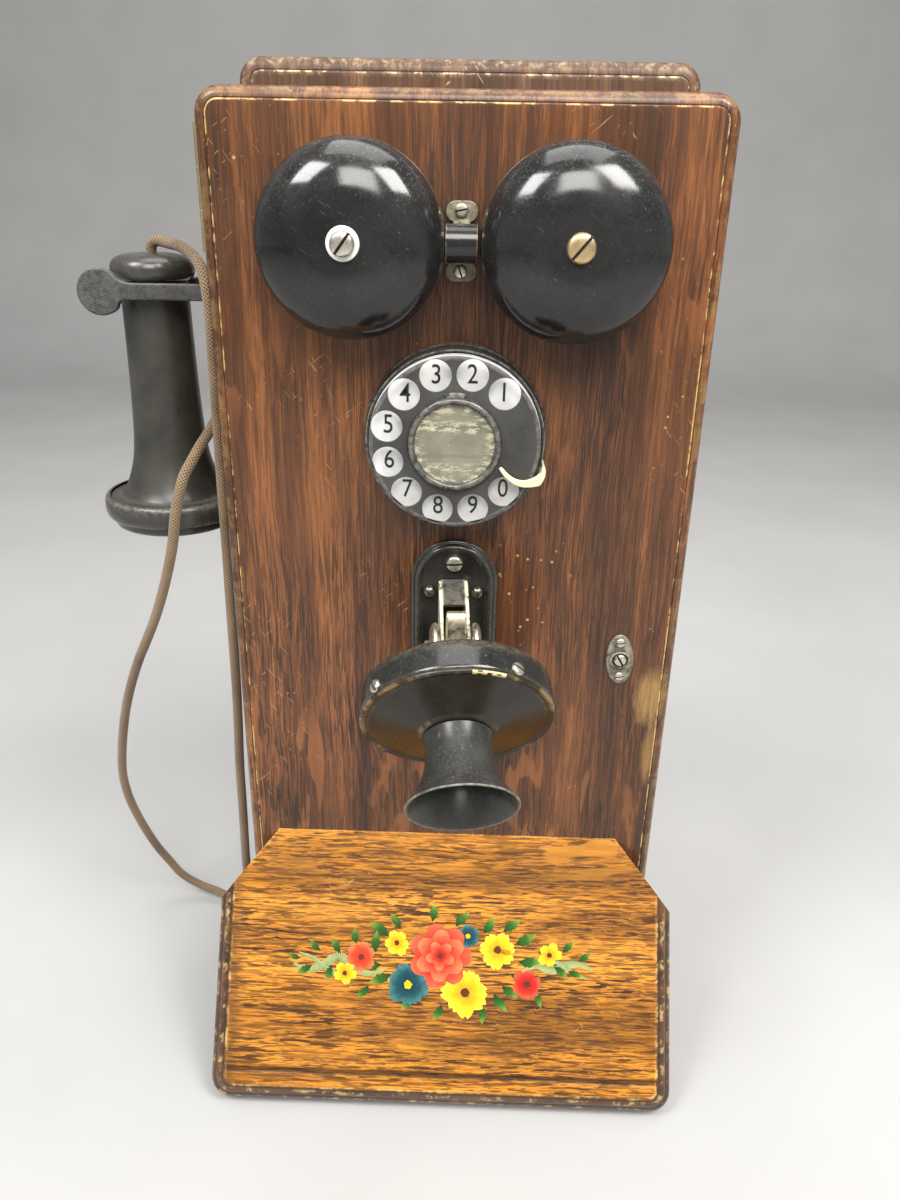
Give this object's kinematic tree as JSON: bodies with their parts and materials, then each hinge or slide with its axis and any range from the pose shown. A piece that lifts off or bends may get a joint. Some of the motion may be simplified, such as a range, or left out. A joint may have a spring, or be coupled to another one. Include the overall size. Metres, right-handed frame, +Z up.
{
  "type": "wall telephone",
  "caption": "Oak-cased wall telephone with exterior bells, rotary dial, tilting transmitter, sloping writing shelf and a receiver hung on a side hook by a braided cord.",
  "frame": {"origin": "on the flat underside of the case's bottom board, midway between the sides and 45 mm in front of the backboard's back face", "axes": "+X to the right as seen from the front, +Y towards the wall, +Z up"},
  "size_m": [0.309, 0.1932, 0.478],
  "materials": {
    "oak": "satin",
    "golden_oak": "satin",
    "hinge_brass": "satin",
    "bright_steel": "satin",
    "nickel": "satin",
    "winding": "satin",
    "ebonite": "satin",
    "cast_iron": "matte",
    "black_enamel": "gloss",
    "dial_black": "satin",
    "white_enamel": "gloss",
    "cream": "satin",
    "card": "gloss",
    "crackle_black": "matte",
    "cord_braid": "matte"
  },
  "bodies": {
    "case": {"backboard": "oak", "case_side_left": "oak", "case_side_right": "oak", "case_top": "oak", "case_bottom": "oak", "hinge_upper_case_leaf": "hinge_brass", "hinge_lower_case_leaf": "hinge_brass", "hookswitch_frame": "bright_steel", "hookswitch_springs": "nickel", "condenser": "bright_steel", "induction_coil": "winding", "terminal_block": "ebonite", "cord_bushing": "ebonite"},
    "door": {"door_panel": "oak", "hinge_upper_door_leaf": "hinge_brass", "hinge_lower_door_leaf": "hinge_brass", "shelf_board": "golden_oak", "shelf_bracket_left": "cast_iron", "shelf_bracket_right": "cast_iron", "gong_left": "black_enamel", "gong_right": "black_enamel", "gong_washer_left": "white_enamel", "gong_screw_left": "nickel", "gong_screw_right": "hinge_brass", "ringer_frame": "bright_steel", "ringer_coil_left": "winding", "ringer_coil_right": "winding", "clapper_hood": "black_enamel", "hood_screw_top": "nickel", "hood_screw_bottom": "nickel", "dial_base": "black_enamel", "number_plate": "white_enamel", "dial_mechanism": "bright_steel", "finger_stop": "cream", "transmitter_plate": "black_enamel", "plate_screw": "nickel", "transmitter_bracket": "black_enamel", "latch_plate": "black_enamel", "latch_screw_top": "nickel", "latch_screw_bottom": "nickel"},
    "clapper": {"clapper": "bright_steel"},
    "dial_wheel": {"finger_wheel": "dial_black", "card_ring": "black_enamel", "number_card": "card"},
    "transmitter": {"transmitter_cup": "black_enamel", "transmitter_face": "black_enamel", "mouthpiece": "ebonite", "transmitter_button": "hinge_brass", "rim_screw_left": "nickel", "rim_screw_right": "nickel", "transmitter_pivot_bolt": "nickel", "transmitter_arm": "nickel"},
    "lock": {"lock_screw": "nickel"},
    "hook": {"hook_lever": "crackle_black"},
    "receiver": {"receiver_tail": "ebonite", "receiver_shell": "ebonite", "receiver_cap": "ebonite", "receiver_magnet": "bright_steel", "receiver_cord": "cord_braid"}
  },
  "joints": [
    {"name": "door_hinge", "type": "hinge", "parent": "case", "child": "door", "pos_m": [-0.1053, -0.0265, 0.234], "axis": [0, 0, -1], "range_deg": [0, 90]},
    {"name": "dial_turn", "type": "hinge", "parent": "door", "child": "dial_wheel", "pos_m": [-0.0015, -0.062, 0.3309], "axis": [0, 1, 0], "range_deg": [0, 330], "stiffness_Nm_per_rad": 0.01, "springref_deg": -34.38},
    {"name": "clapper_swing", "type": "hinge", "parent": "door", "child": "clapper", "pos_m": [0, -0.011, 0.368], "axis": [0, 1, 0], "range_deg": [-3.5, 3.5], "stiffness_Nm_per_rad": 0.02},
    {"name": "transmitter_tilt", "type": "hinge", "parent": "door", "child": "transmitter", "pos_m": [0.00066, -0.07343, 0.2445], "axis": [0.9972, 0.075, 0], "range_deg": [-45, 20]},
    {"name": "lock_turn", "type": "hinge", "parent": "door", "child": "lock", "pos_m": [0.077, -0.03, 0.227], "axis": [0, 1, 0], "range_deg": [0, 90]},
    {"name": "receiver_lift", "type": "slide", "parent": "case", "child": "receiver", "axis": [-0.7071, 0, 0.7071], "range_m": [0, 0.06]},
    {"name": "hook_rise", "type": "hinge", "parent": "case", "child": "hook", "pos_m": [-0.072, 0.005, 0.38], "axis": [0, 1, 0], "range_deg": [0, 10]}
  ],
  "couplings": [
    {"joint": "hook_rise", "follows": "receiver_lift", "rad_per_m": 2.9}
  ]
}
